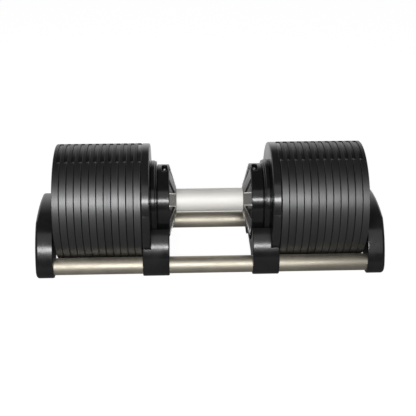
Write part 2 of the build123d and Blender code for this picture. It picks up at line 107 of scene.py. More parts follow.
def add(tree, kind, inputs=None, family="ShaderNode", **settings):
    """A node of a shader or another tree. An input takes a plain value, or an output socket to link."""
    node = tree.nodes.new(family + kind)
    for name, value in settings.items():
        setattr(node, name, value)
    for name, value in (inputs or {}).items():
        if isinstance(value, bpy.types.NodeSocket):
            tree.links.new(value, node.inputs[name])
        else:
            node.inputs[name].default_value = value
    return node


def maths(tree, operation, first, second=0.0, clamp=False):
    """One sum on two values."""
    inputs = {0: first, 1: second}
    return add(tree, "Math", inputs, operation=operation, use_clamp=clamp).outputs[0]


def stretch(tree, value, low, high, new_low=0.0, new_high=1.0):
    """A value moved from one range to another, and kept inside it."""
    inputs = {"Value": value, "From Min": low, "From Max": high, "To Min": new_low, "To Max": new_high}
    return add(tree, "MapRange", inputs).outputs["Result"]


def tint(tree, amount, dark, light):
    """A colour between two colours. Either may be a link."""
    linked = bpy.types.NodeSocket
    first, second = (end if isinstance(end, linked) else (*end, 1.0) for end in (dark, light))
    inputs = {0: amount, COLOUR_A: first, COLOUR_B: second}
    return add(tree, "Mix", inputs, data_type="RGBA").outputs[COLOUR_OUT]


print("helpers for nodes, sums, ranges and colours ready")

# %% [markdown]
# Patterns on a surface begin with a place. Object coordinates are metres on the object itself, so
# a pattern stays on its piece when that moves, and its scale says how often it changes in a metre.

# %% Places and noise
def object_place(tree):
    """Where a point of the surface lies, in metres."""
    return add(tree, "TexCoord").outputs["Object"]


def split(tree, place):
    """X, Y and Z of a place or a direction."""
    return add(tree, "SeparateXYZ", {0: place}).outputs


def combine(tree, **parts):
    """Place or direction made of X, Y and Z, each 0 where it isn't given."""
    return add(tree, "CombineXYZ", parts).outputs[0]


def noise(tree, place, scale, detail, **more):
    """Soft random values in space."""
    inputs = {"Vector": place, "Scale": scale, "Detail": detail, **more}
    return add(tree, "TexNoise", inputs).outputs["Fac"]


def grey(value):
    """Colour with equal parts of red, green and blue."""
    return (value, value, value)


print("helpers for places and noise ready")

# %% [markdown]
# ## Floor
# The object stands on plain white. A floor that only glowed would lose the shadow, and one that
# only reflected would be grey at its edges, so it does both: a matt surface plus a glow. The glow
# is strong for the camera. In reflections it is weak near the object, where a real floor lies in
# the object's shade and mirrors as grey in polished tubes, and it grows behind the object.

# %% Floor
FLOOR_HALF = 6.0

floor_mesh = bpy.data.meshes.new("studio_floor")
corners = [(x * FLOOR_HALF, y * FLOOR_HALF, 0) for x, y in ((-1, -1), (1, -1), (1, 1), (-1, 1))]
floor_mesh.from_pydata(corners, [], [(0, 1, 2, 3)])
floor = show("studio_floor", floor_mesh)
print("floor", 2 * FLOOR_HALF, "m wide")

# %% Floor paint
FLOOR_GREY = 0.30
GLOW_TO_CAMERA = 0.92
MIRROR_GLOW_NEAR, MIRROR_GLOW_BEHIND = 0.05, 0.7
BEHIND_FROM, BEHIND_TO = 0.05, 0.5

floor_paint = bpy.data.materials.new("floor_paint")
floor_paint.use_nodes = True
tree = floor_paint.node_tree
tree.nodes.clear()
path = add(tree, "LightPath").outputs
to_camera = maths(tree, "MULTIPLY", path["Is Camera Ray"], GLOW_TO_CAMERA)
mirrored = maths(tree, "MAXIMUM", path["Is Glossy Ray"], path["Is Transmission Ray"])
back = split(tree, object_place(tree))["Y"]
mirror_glow = stretch(tree, back, BEHIND_FROM, BEHIND_TO, MIRROR_GLOW_NEAR, MIRROR_GLOW_BEHIND)
strength = maths(tree, "ADD", to_camera, maths(tree, "MULTIPLY", mirrored, mirror_glow))
matt = add(tree, "BsdfDiffuse", {"Color": (*grey(FLOOR_GREY), 1.0)})
glow = add(tree, "Emission", {"Strength": strength})
both = add(tree, "AddShader", {0: matt.outputs[0], 1: glow.outputs[0]})
add(tree, "OutputMaterial", {"Surface": both.outputs[0]})
floor_mesh.materials.append(floor_paint)
print("floor glows", GLOW_TO_CAMERA, "to the camera and", MIRROR_GLOW_NEAR, "in mirrors beside it")

# %% [markdown]
# ## Surroundings
# Black gloss shows nothing but its surroundings. Here they are a dim room with a bright backdrop
# low behind the object, which is what turns the tops of the supports and the rear edges of the
# plates light. The world can hold both, because it knows the direction that a ray leaves in.

# %% Surroundings
WHITE = (1.0, 1.0, 1.0, 1.0)
ROOM_LIGHT = 0.072
BACKDROP_LIGHT = 0.95
BACKDROP_TOP = (0.32, 0.66)
BACKDROP_SIDE = (-0.1, 0.45)

world = bpy.data.worlds.new("studio_world")
bpy.context.scene.world = world
world.use_nodes = True
tree = world.node_tree
tree.nodes.clear()
way = split(tree, add(tree, "TexCoord").outputs["Generated"])
low = stretch(tree, way["Z"], *BACKDROP_TOP, 1.0, 0.0)
behind = stretch(tree, way["Y"], *BACKDROP_SIDE)
backdrop = maths(tree, "MULTIPLY", maths(tree, "MULTIPLY", low, behind), BACKDROP_LIGHT)
room = maths(tree, "ADD", backdrop, ROOM_LIGHT)
white_to_camera = maths(tree, "MAXIMUM", room, add(tree, "LightPath").outputs["Is Camera Ray"])
sky = add(tree, "Background", {"Color": WHITE, "Strength": white_to_camera})
add(tree, "OutputWorld", {"Surface": sky.outputs[0]})
bpy.context.scene.view_settings.view_transform = "Standard"
print("backdrop", BACKDROP_LIGHT, "room", ROOM_LIGHT)

# %% [markdown]
# ## Lamps
# Every round piece carries one highlight where it faces the camera, so the main lamp is a soft
# box close to the camera, a little to the left, which makes the left plates the brighter ones.
# A larger and weaker one round it keeps the fronts from going black.

# %% Lamps
TARGET = Vector((0, 0, 0.09))


def soft_box(name, azimuth, elevation, distance, width, height, radiance):
    """Rectangular lamp aimed at the dumbbell. Azimuth 0 is the front, and positive is to the right."""
    round_it, up = math.radians(azimuth), math.radians(elevation)
    out = Vector((math.sin(round_it) * math.cos(up), -math.cos(round_it) * math.cos(up), math.sin(up)))
    data = bpy.data.lights.new(name, "AREA")
    data.shape = "RECTANGLE"
    data.size, data.size_y = width, height
    data.energy = radiance * math.pi * width * height
    lamp = show(name, data)
    lamp.location = TARGET + out * distance
    lamp.rotation_mode = "QUATERNION"
    lamp.rotation_quaternion = (-out).to_track_quat("-Z", "Y")


soft_box("front_box", azimuth=-6, elevation=26, distance=1.5, width=1.0, height=0.18, radiance=20.0)
soft_box("front_glow", azimuth=-4, elevation=34, distance=1.7, width=2.2, height=1.3, radiance=0.8)
print(len(bpy.data.lights), "lamps")

# %% [markdown]
# ## Shared surface effects
# Several finishes need the same effect with other sizes: marks of the lathe, the grain of a
# moulding, smudges and worn edges. Each is a node group with named inputs, built once. A group
# gives out only values that change over the surface; the shader itself stays in the material.

# %% Group helpers
def new_group(name, inputs, outputs):
    """Empty shader group with number inputs. Gives the tree and its inputs."""
    tree = bpy.data.node_groups.new(name, "ShaderNodeTree")
    for label in inputs:
        tree.interface.new_socket(label, in_out="INPUT", socket_type="NodeSocketFloat")
    for label in outputs:
        kind = "NodeSocketVector" if label == "Normal" else "NodeSocketFloat"
        tree.interface.new_socket(label, in_out="OUTPUT", socket_type=kind)
    return tree, tree.nodes.new("NodeGroupInput").outputs


def end_group(tree, **outputs):
    """Links a group's results to its outputs."""
    end = tree.nodes.new("NodeGroupOutput")
    for label, value in outputs.items():
        tree.links.new(value, end.inputs[label])
    print("group", tree.name, "gives", list(outputs))


def use_group(tree, group, **inputs):
    """A group's outputs inside a material. Its inputs are given by name, with _ for a space."""
    node = tree.nodes.new("ShaderNodeGroup")
    node.node_tree = bpy.data.node_groups[group]
    for label, value in inputs.items():
        node.inputs[label.replace("_", " ")].default_value = value
    return node.outputs


print("helpers for groups ready")

# %% [markdown]
# The plates are turned on a lathe, which leaves fine rings about their axis. A picture of rings
# would need a flat map of every piece. One number does instead: the place along the dumbbell's
# axis on a rim, or the distance from it on a flat face. Noise read along that number gives rings
# of uneven strength, and larger patches make them come and go. On the pins, springs and screws the
# same lines pass for the marks of their own making.

# %% Lathe marks
AXIS_HEIGHT = sum(corner.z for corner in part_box("grip_tube")) / 2
FACE_FROM, FACE_TO = 0.6, 0.8
PATCH_SCALE = 42.0
MIDDLE_OF_NOISE = 0.5

tree, given = new_group("lathe_marks", ["Lines per metre", "Uneven"], ["Marks"])
place = add(tree, "TexCoord").outputs
spot = split(tree, place["Object"])
facing = split(tree, place["Normal"])
height = maths(tree, "SUBTRACT", spot["Z"], AXIS_HEIGHT)
squares = [maths(tree, "POWER", length, 2.0) for length in (spot["Y"], height)]
radius = maths(tree, "SQRT", maths(tree, "ADD", *squares))
on_face = stretch(tree, maths(tree, "ABSOLUTE", facing["X"]), FACE_FROM, FACE_TO)
along = add(tree, "Mix", {"Factor": on_face, NUMBER_A: spot["X"], NUMBER_B: radius}).outputs[0]
rings = {"W": along, "Scale": given["Lines per metre"], "Detail": 3.0, "Roughness": 0.7}
fine = add(tree, "TexNoise", rings, noise_dimensions="1D").outputs["Fac"]
patches = noise(tree, place["Object"], PATCH_SCALE, detail=4.0)
change = maths(tree, "SUBTRACT", patches, MIDDLE_OF_NOISE)
marks = maths(tree, "ADD", fine, maths(tree, "MULTIPLY", change, given["Uneven"]), clamp=True)
end_group(tree, Marks=marks)
print("rings run about the axis at", round(AXIS_HEIGHT, 4), "m")

# %% [markdown]
# Plastic takes the grain of its mould, and sprayed paint dries with a slight ripple. In use, hands
# add soft smudges that change colour and gloss. Both could be painted by hand, but noise in space
# covers every piece without a seam, and only its scale differs from finish to finish.

# %% Moulded grain and smudges
PIT_SHARE = 0.4
SMUDGE_FROM, SMUDGE_TO = 0.35, 0.7

tree, given = new_group("moulded", ["Grain scale", "Smudge scale"], ["Height", "Smudge"])
place = object_place(tree)
grain = noise(tree, place, given["Grain scale"], detail=2.0)
pits = add(tree, "TexVoronoi", {"Vector": place, "Scale": given["Grain scale"]}).outputs["Distance"]
cloud = noise(tree, place, given["Smudge scale"], detail=6.0, Roughness=0.62, Distortion=0.8)
end_group(
    tree,
    Height=maths(tree, "ADD", grain, maths(tree, "MULTIPLY", pits, PIT_SHARE)),
    Smudge=stretch(tree, cloud, SMUDGE_FROM, SMUDGE_TO),
)

# %% [markdown]
# A coat wears through at the edges first. The Bevel node gives the direction that a slightly
# rounded edge would face, and where that turns away from the true direction, there is an edge. It
# needs no more faces. Noise breaks the wear up, as knocks do, and the rounded direction goes out
# too, so that the sharp edges of the CAD model catch the light.

# %% Worn edges
EDGE_SAMPLES = 4
EDGE_FROM, EDGE_TO = 0.015, 0.16
RUBBED_FROM, RUBBED_TO = 0.36, 0.62

tree, given = new_group("worn_edges", ["Width", "Breakup scale"], ["Wear", "Normal"])
rounded = add(tree, "Bevel", {"Radius": given["Width"]}, samples=EDGE_SAMPLES).outputs["Normal"]
true_normal = add(tree, "NewGeometry").outputs["Normal"]
same = add(tree, "VectorMath", {0: rounded, 1: true_normal}, operation="DOT_PRODUCT").outputs["Value"]
edge = stretch(tree, maths(tree, "SUBTRACT", 1.0, same), EDGE_FROM, EDGE_TO)
knocks = noise(tree, object_place(tree), given["Breakup scale"], detail=5.0, Roughness=0.7)
rubbed = stretch(tree, knocks, RUBBED_FROM, RUBBED_TO)
end_group(tree, Wear=maths(tree, "MULTIPLY", edge, rubbed), Normal=rounded)

# %% [markdown]
# The rails and the grip are tubes that were drawn and polished along their length, which leaves
# long fine lines. Noise can make them if its space is stretched: here it changes often across the
# tube, in Y and Z, and seldom along it, in X.

# %% Drawn lines
SCALE_OF = {"X": "Along", "Y": "Across", "Z": "Across"}

tree, given = new_group("brushed", ["Along", "Across"], ["Lines"])
spot = split(tree, object_place(tree))
drawn = {axis: maths(tree, "MULTIPLY", spot[axis], given[scale]) for axis, scale in SCALE_OF.items()}
end_group(tree, Lines=noise(tree, combine(tree, **drawn), scale=1.0, detail=3.0, Roughness=0.65))

# %% [markdown]
# ## Finishes
# Every finish below starts from one Principled shader. What is the same all over the surface,
# such as the metallic value or the gloss of a clear coat, is set on the shader's own sockets.
# What changes over the surface comes from the groups above. Plastics, paints and rubber differ
# only in their values, so they share one function.

# %% Finish helpers
# What runs from clean to dull over a surface, and the values that it has there.
RANGE_OF = {"Smudge": (0.0, 1.0), "Height": (0.2, 1.0)}
finishes = {}


def new_finish(slot, **shader_values):
    """Material for one slot of the record. Gives its tree and its Principled shader."""
    material = bpy.data.materials.new(slot)
    material.use_nodes = True
    shader = material.node_tree.nodes["Principled BSDF"]
    for label, value in shader_values.items():
        shader.inputs[label.replace("_", " ")].default_value = value
    finishes[slot] = material
    return material.node_tree, shader


def finish_with(tree, shader, colour, roughness, height, depth, rounded=None):
    """Links colour and roughness, and a bump of the given depth in metres over the rounded edges."""
    tree.links.new(colour, shader.inputs["Base Color"])
    tree.links.new(roughness, shader.inputs["Roughness"])
    bump = add(tree, "Bump", {"Height": height, "Distance": depth})
    if rounded is not None:
        tree.links.new(rounded, bump.inputs["Normal"])
    tree.links.new(bump.outputs["Normal"], shader.inputs["Normal"])


def moulded_finish(slot, colours, roughness, grain, smudges, depth, edges=None, dull_by="Smudge", **values):
    """Plastic, paint or rubber. Colours and roughness go from clean to smudged, and edges may wear."""
    tree, shader = new_finish(slot, **values)
    surface = use_group(tree, "moulded", Grain_scale=grain, Smudge_scale=smudges)
    colour = tint(tree, surface["Smudge"], *colours)
    rounded = None
    if edges is not None:
        worn = use_group(tree, "worn_edges", Width=edges["width"], Breakup_scale=edges["breakup"])
        colour = tint(tree, maths(tree, "MULTIPLY", worn["Wear"], edges["amount"]), colour, edges["bare"])
        rounded = worn["Normal"]
    dull = stretch(tree, surface[dull_by], *RANGE_OF[dull_by], *roughness)
    finish_with(tree, shader, colour, dull, surface["Height"], depth, rounded)
    print("finish", slot, "with roughness", roughness)


print("helpers for finishes ready")

# %% [markdown]
# The plates are turned steel under a thin satin black coat. The lathe's rings show through it,
# each plate came out of the bath a little darker or lighter than the next, and the rims, which
# rub on the rails and on each other, have worn to bare metal in places. One material does for all
# of them: counting the pitches along X gives each plate a number, and the number picks its shade.

# %% Plate coat
PLATE_PITCH = 0.010
FIRST_PLATE = 0.0954
COAT_DARK, COAT_LIGHT = (0.1, 0.1, 0.102), (0.125, 0.125, 0.126)
RING_COLOUR, RING_AMOUNT = grey(0.17), 0.35
# Bare steel of the worn rims, and also the colour of the painted highlight on the slot lips.
BARE_STEEL_AND_HIGHLIGHT, BARE_AMOUNT = (0.45, 0.44, 0.43), 0.45

tree, shader = new_finish("plate_steel", Metallic=1.0)
marks = use_group(tree, "lathe_marks", Lines_per_metre=850.0, Uneven=0.5)["Marks"]
wear = use_group(tree, "worn_edges", Width=0.0007, Breakup_scale=240.0)["Wear"]
spot = split(tree, object_place(tree))
out = maths(tree, "SUBTRACT", maths(tree, "ABSOLUTE", spot["X"]), FIRST_PLATE)
pitches = maths(tree, "DIVIDE", out, PLATE_PITCH)
plate = maths(tree, "FLOOR", pitches)
shade = add(tree, "TexWhiteNoise", {"W": plate}, noise_dimensions="1D").outputs["Value"]
coat = tint(tree, shade, COAT_DARK, COAT_LIGHT)
coat = tint(tree, maths(tree, "MULTIPLY", marks, RING_AMOUNT), coat, RING_COLOUR)
coat = tint(tree, maths(tree, "MULTIPLY", wear, BARE_AMOUNT), coat, BARE_STEEL_AND_HIGHLIGHT)
print("plate coat counts from", FIRST_PLATE, "m in steps of", PLATE_PITCH, "m")

# %% [markdown]
# At the mouth of a plate's slot the next plate's tongue slides past. There the slot's lips get a painted
# highlight, a light line where their edges catch the light, and the tongue's end between them a painted
# shade, as in a recess. Both lie at a fixed distance from the middle, on the inner part of each plate's
# rim, so Object coordinates place them without a map.

# %% Slot lips: painted highlight and painted shade
SLOT_DEPTH = 0.0047
# Width and least strength of the painted highlight on the lips, and colour, amount and spread of the
# painted shade between them.
SLOT_LIP, LIP_HIGHLIGHT_WIDTH, LIP_HIGHLIGHT_LEAST = 0.0312, 0.0016, 0.45
PAINTED_SLOT_SHADE, SLOT_SHADE_AMOUNT = grey(0.03), 0.6
SLOT_SHADE_FROM, SLOT_SHADE_TO = 0.010, 0.022
RING_RANGE = (0.2, 0.8)
PLATE_ROUGHNESS = (0.36, 0.48)
RING_DEPTH = 0.00006

into_plate = maths(tree, "MULTIPLY", maths(tree, "FRACT", pitches), PLATE_PITCH)
in_slot = maths(tree, "LESS_THAN", into_plate, SLOT_DEPTH)
sideways = maths(tree, "ABSOLUTE", spot["Y"])
between_lips = maths(tree, "LESS_THAN", sideways, SLOT_LIP - LIP_HIGHLIGHT_WIDTH)
# Painted shade: the tongue's end darkens towards the lips, as if the recess lay in shadow.
slot_shade_spread = stretch(tree, sideways, SLOT_SHADE_FROM, SLOT_SHADE_TO, 0.0, SLOT_SHADE_AMOUNT)
slot_shade = maths(tree, "MULTIPLY", maths(tree, "MULTIPLY", slot_shade_spread, in_slot), between_lips)
coat = tint(tree, slot_shade, coat, PAINTED_SLOT_SHADE)
# Painted highlight: a light line on each lip, where the slot's edge catches the light.
off_lip = maths(tree, "ABSOLUTE", maths(tree, "SUBTRACT", sideways, SLOT_LIP))
lip = maths(tree, "MULTIPLY", stretch(tree, off_lip, LIP_HIGHLIGHT_WIDTH / 2, LIP_HIGHLIGHT_WIDTH, 1.0, 0.0), in_slot)
lip_highlight = maths(tree, "MULTIPLY", lip, stretch(tree, shade, 0, 1, LIP_HIGHLIGHT_LEAST, 1.0))
coat = tint(tree, lip_highlight, coat, BARE_STEEL_AND_HIGHLIGHT)
finish_with(tree, shader, coat, stretch(tree, marks, *RING_RANGE, *PLATE_ROUGHNESS), marks, RING_DEPTH)
print("slot lips at", SLOT_LIP, "m from the middle")

# %% [markdown]
# The end discs wear a thicker, glossier paint, with the faint ripple of sprayed lacquer. The
# ripple is a coarse grain of little depth, and a thin clear coat on the shader adds the lacquer.

# %% End disc paint
moulded_finish(
    "end_disc_paint", ((0.009, 0.009, 0.0095), (0.016, 0.016, 0.017)), roughness=(0.18, 0.28),
    grain=420.0, smudges=16.0, depth=0.00003,
    edges={"width": 0.0008, "breakup": 220.0, "amount": 0.35, "bare": grey(0.14)},
    Coat_Weight=0.3, Coat_Roughness=0.12,
)

# %% [markdown]
# Housings, flanges and shoulders are one gloss black plastic. On the shoulders the same plastic gets
# wider and much lighter edges: partly wear where the thumb and the forefinger rub the ribs, partly a
# painted highlight for the light that the rib edges catch. A clear coat adds the polish that hands give it.

# %% Head gloss
HEAD_PLASTIC = {
    "colours": ((0.006, 0.006, 0.0064), (0.01, 0.01, 0.0104)),
    "grain": 700.0,
    "smudges": 26.0,
    "depth": 0.00002,
}
moulded_finish(
    "head_gloss", roughness=(0.14, 0.23), **HEAD_PLASTIC,
    edges={"width": 0.0008, "breakup": 300.0, "amount": 0.3, "bare": grey(0.12)},
)
# Lighter rib edges: partly wear, partly a painted highlight.
moulded_finish(
    "rib_wear_and_highlight", roughness=(0.18, 0.3), **HEAD_PLASTIC,
    edges={"width": 0.0014, "breakup": 300.0, "amount": 0.5, "bare": (0.4, 0.395, 0.39)},
    Coat_Weight=0.7, Coat_Roughness=0.14,
)

# %% [markdown]
# The saddles and the end supports are thick mouldings of a glossy black plastic. Thick plastic has
# rounder edges than the heads have, so the edge effect is wider here. Hands seldom touch the
# cradle, so its edges are only faintly worn.

# %% Cradle plastic
moulded_finish(
    "cradle_plastic", ((0.009, 0.009, 0.0095), (0.016, 0.016, 0.0165)), roughness=(0.12, 0.22),
    grain=1100.0, smudges=20.0, depth=0.00003,
    edges={"width": 0.001, "breakup": 150.0, "amount": 0.25, "bare": grey(0.13)},
)

# %% [markdown]
# Rubber is matt, and its roughness follows the coarse skin instead of the smudges. The drums
# behind the windows are a matt black plastic, and the numbers on them a white print of uneven
# thickness. Nothing rubs on these three, so they leave the edge effect out.

# %% Rubber, drum plastic and number paint
moulded_finish(
    "foot_rubber", (grey(0.016), (0.035, 0.034, 0.033)), roughness=(0.72, 0.92),
    grain=1600.0, smudges=60.0, depth=0.00006, dull_by="Height", Specular_IOR_Level=0.3,
)
moulded_finish(
    "drum_plastic", (grey(0.01), grey(0.018)), roughness=(0.45, 0.6),
    grain=1300.0, smudges=40.0, depth=0.00003, Specular_IOR_Level=0.4,
)
moulded_finish(
    "number_paint", ((0.92, 0.92, 0.9), (0.82, 0.82, 0.8)), roughness=(0.4, 0.6),
    grain=2200.0, smudges=300.0, depth=0.00002, dull_by="Height",
)

# %% [markdown]
# The bare metals differ in colour, in how rough they are and in the way their lines run, so a
# short table and one loop make them all. Fine lines smear a highlight across their own direction.
# That is the shader's Anisotropic value, and a Tangent node tells it that the tubes lie along X.

# %% Bare metals
METALS = {
    # slot: metallic, colour, roughness from and to,
    # how far light smears across the lines, how the lines were made, their depth
    "rail_chrome": (1.0, (0.46, 0.425, 0.35), (0.32, 0.44), 0.85, "drawn", 0.000003),
    "grip_steel": (0.4, (0.99, 0.97, 0.92), (0.4, 0.54), 0.9, "drawn", 0.00001),
    "core_steel": (1.0, (0.5, 0.5, 0.5), (0.25, 0.4), 0.5, "drawn", 0.00001),
    "rod_steel": (1.0, (0.56, 0.56, 0.57), (0.2, 0.34), 0.0, "turned", 0.00001),
    "lock_steel": (1.0, (0.5, 0.5, 0.5), (0.22, 0.36), 0.0, "turned", 0.00001),
    "spring_steel": (1.0, (0.42, 0.42, 0.43), (0.25, 0.4), 0.0, "turned", 0.00001),
    "screw_steel": (1.0, (0.4, 0.4, 0.41), (0.28, 0.45), 0.0, "turned", 0.00001),
    "sleeve_alloy": (1.0, (0.7, 0.7, 0.71), (0.28, 0.42), 0.0, "turned", 0.00002),
    "rib_edges": (1.0, (0.95, 0.94, 0.92), (0.2, 0.32), 0.0, "turned", 0.00001),
}
SHADE_OF_LINES = 0.86
LINE_SHARE, SMUDGE_SHARE = 0.6, 0.4
DULL_RANGE = (0.2, 0.8)

for slot, (metallic, colour, roughness, smear, lines_run, depth) in METALS.items():
    tree, shader = new_finish(slot, Metallic=metallic, Anisotropic=smear)
    if lines_run == "drawn":
        lines = use_group(tree, "brushed", Along=10.0, Across=1500.0)["Lines"]
        round_axis = add(tree, "Tangent", direction_type="RADIAL", axis="X").outputs[0]
        tree.links.new(round_axis, shader.inputs["Tangent"])
    else:
        lines = use_group(tree, "lathe_marks", Lines_per_metre=2400.0, Uneven=0.3)["Marks"]
    smudge = use_group(tree, "moulded", Grain_scale=900.0, Smudge_scale=24.0)["Smudge"]
    in_lines = tuple(part * SHADE_OF_LINES for part in colour)
    by_lines = maths(tree, "MULTIPLY", lines, LINE_SHARE)
    dull = maths(tree, "ADD", by_lines, maths(tree, "MULTIPLY", smudge, SMUDGE_SHARE))
    dull = stretch(tree, dull, *DULL_RANGE, *roughness)
    finish_with(tree, shader, tint(tree, lines, in_lines, colour), dull, lines, depth)
print(len(METALS), "metals")

# %% [markdown]
# The record says which slot each node belongs to. Giving the node's object the slot's material
# is all it takes, since the shapes come from the CAD model. Only the shoulders, which share a slot
# with the housings, take the version whose rib edges are lighter, partly worn and partly a painted
# highlight.

# %% Give each node its finish
for part in frame["record"]["subparts"]:
    mesh = nodes[part["node"]].data
    ribbed = part["node"].endswith("_shoulder")
    mesh.materials.clear()
    mesh.materials.append(finishes["rib_wear_and_highlight" if ribbed else part["material_slot"]])

# %% [markdown]
# ## Numbers on the drums
# Behind each window turns a drum with the weights printed round it. A text object draws the
# digits. As a flat sheet they would have no back, so the text is given a thickness, and merging
# the points where its front, back and sides meet makes it one closed solid.

# %% Digits as closed solids
DIGIT_SIZE = 0.0062
DIGIT_BOLDER = 0.00015
DIGIT_STEPS = 4
PRINT_HEIGHT = 0.00015
MERGE_DISTANCE = 0.000002


def raised_text(words):
    """Points and faces of a text that lies flat, centred on the origin, as a closed solid."""
    curve = bpy.data.curves.new("text", "FONT")
    curve.body, curve.size = words, DIGIT_SIZE
    curve.offset, curve.extrude, curve.resolution_u = DIGIT_BOLDER, PRINT_HEIGHT, DIGIT_STEPS
    curve.align_x, curve.align_y = "CENTER", "CENTER"
    holder = show("text", curve)
    graph = bpy.context.evaluated_depsgraph_get()
    mesh = bpy.data.meshes.new_from_object(holder.evaluated_get(graph))
    solid = bmesh.new()
    solid.from_mesh(mesh)
    bmesh.ops.remove_doubles(solid, verts=solid.verts, dist=MERGE_DISTANCE)
    bmesh.ops.recalc_face_normals(solid, faces=solid.faces)
    solid.verts.index_update()
    points = [point.co.copy() for point in solid.verts]
    faces = [tuple(point.index for point in face.verts) for face in solid.faces]
    solid.free()
    bpy.data.objects.remove(holder)
    bpy.data.curves.remove(curve)
    bpy.data.meshes.remove(mesh)
    return points, faces


print("a digit has", len(raised_text("5")[1]), "faces")

# %% [markdown]
# Then every point is moved onto the drum: sideways stays sideways, and up becomes an angle. The
# numbers stand where the window shows them at each setting, and they ride on the grip, so they
# turn when it is twisted.

# %% Numbers round the drums
LIGHTEST, HEAVIEST, WEIGHT_RISE = 5, 41, 3
WEIGHTS = range(LIGHTEST, HEAVIEST + 1, WEIGHT_RISE)
WEIGHT_STEP = math.radians(27.5)
SEEN_AT = math.radians(5.0)
DIGIT_STRETCH = 1.5
WINDOW_X = 0.0638
drum_low, drum_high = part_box("right_number_drum")
DRUM_RADIUS = (drum_high.y - drum_low.y) / 2


def printed_numbers(name, middle):
    """All weights bent round one drum, as a piece that turns with the grip."""
    points, faces = [], []
    for count, weight in enumerate(WEIGHTS):
        drawn, drawn_faces = raised_text(str(weight))
        faces += [tuple(index + len(points) for index in face) for face in drawn_faces]
        for spot in drawn:
            reach = DRUM_RADIUS + spot.z
            angle = count * WEIGHT_STEP + SEEN_AT + DIGIT_STRETCH * spot.y / DRUM_RADIUS
            points.append((middle + spot.x, reach * math.sin(angle), AXIS_HEIGHT + reach * math.cos(angle)))
    mesh = bpy.data.meshes.new(name)
    mesh.from_pydata(points, [], faces)
    mesh.materials.append(finishes["number_paint"])
    piece = show(name, mesh)
    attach(piece, "grip")
    print(name, len(faces), "faces")


printed_numbers("left_numbers", -WINDOW_X)
printed_numbers("right_numbers", WINDOW_X)

# %% [markdown]
# ## Repeated pieces
# The bright edges of the ribs, the marks on the drums, the screws and the feet repeat. Geometry
# Nodes makes one of them from named sizes, and sets a copy on each given point or along each given
# line. The result is turned into a plain mesh at once, because a piece that rides on a moving body
# must not change its shape afterwards.

# %% Geometry Nodes helpers
def new_tool(name, **inputs):
    """Empty Geometry Nodes group with named inputs. Gives the tree, its inputs and its end."""
    tree = bpy.data.node_groups.new(name, "GeometryNodeTree")
    tree.interface.new_socket("Geometry", in_out="OUTPUT", socket_type="NodeSocketGeometry")
    for label, kind in {"Points": "Geometry", **inputs, "Finish": "Material"}.items():
        tree.interface.new_socket(label, in_out="INPUT", socket_type="NodeSocket" + kind)
    start = tree.nodes.new("NodeGroupInput")
    end = tree.nodes.new("NodeGroupOutput")
    return tree, start.outputs, end


def shape(tree, kind, inputs=None, **settings):
    """What a Geometry Nodes node gives out first."""
    return add(tree, kind, inputs, "GeometryNode", **settings).outputs[0]


def end_tool(tree, given, end, made):
    """Ends a tool: what was made, as plain mesh with its finish."""
    plain = shape(tree, "RealizeInstances", {"Geometry": made})
    done = shape(tree, "SetMaterial", {"Geometry": plain, "Material": given["Finish"]})
    tree.links.new(done, end.inputs["Geometry"])


def on_points(tree, given, end, made):
    """Ends a tool with a copy of what was made on each point."""
    copies = shape(tree, "InstanceOnPoints", {"Points": given["Points"], "Instance": made})
    end_tool(tree, given, end, copies)


print("helpers for Geometry Nodes ready")

# %% [markdown]
# A tool works on a mesh of loose points or lines. Blender knows a modifier's inputs by identifiers,
# not by the words on their sockets, so the helper looks each one up, sets it before the tool first
# runs, and then keeps only the mesh that comes out.

# %% From a tool to a piece
def piece_of(name, tool, points, lines=(), **values):
    """Plain mesh object that a tool makes on some points, or along some lines between them."""
    mesh = bpy.data.meshes.new(name + "_points")
    mesh.from_pydata(points, list(lines), [])
    piece = show(name, mesh)
    modifier = piece.modifiers.new(name, "NODES")
    modifier.node_group = tool
    for socket in tool.interface.items_tree:
        if socket.in_out == "INPUT" and socket.name in values:
            modifier[socket.identifier] = values[socket.name]
    graph = bpy.context.evaluated_depsgraph_get()
    made = bpy.data.meshes.new_from_object(piece.evaluated_get(graph))
    piece.modifiers.remove(modifier)
    piece.data = made
    bpy.data.meshes.remove(mesh)
    print(name, len(made.polygons), "faces")
    return piece


print("helper for pieces ready")

# %% [markdown]
# The ribs that face the user, and those opposite, have bright edges, which catch the light beside
# the grip. Each edge is a straight line down the cone, at a fixed distance from the middle of its
# rib, so the script works out its two ends from the sizes of the shoulder.

# %% Ends of the bright edges
RIB_COUNT = 8
BRIGHT_RIBS = (0, 1, RIB_COUNT // 2, RIB_COUNT // 2 + 1)
RIB_TURN = math.radians(62.0)
RIB_HALF_WIDTH = 0.00875
CONE_TIP_RADIUS = 0.0183
BEAD_RADIUS = 0.0008
cone_low, cone_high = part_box("right_shoulder")
CONE_RIM_RADIUS = (cone_high.y - cone_low.y) / 2


def on_cone(side, turn, along, across):
    """Point of a shoulder's slope, along and across a rib that is turned from the top to the front."""
    radius = math.hypot(along, across)
    climb = (radius - CONE_TIP_RADIUS) / (CONE_RIM_RADIUS - CONE_TIP_RADIUS)
    x = cone_low.x + climb * (cone_high.x - cone_low.x)
    y = -along * math.sin(turn) - across * math.cos(turn)
    z = along * math.cos(turn) - across * math.sin(turn)
    return (side * x, y, AXIS_HEIGHT + z)


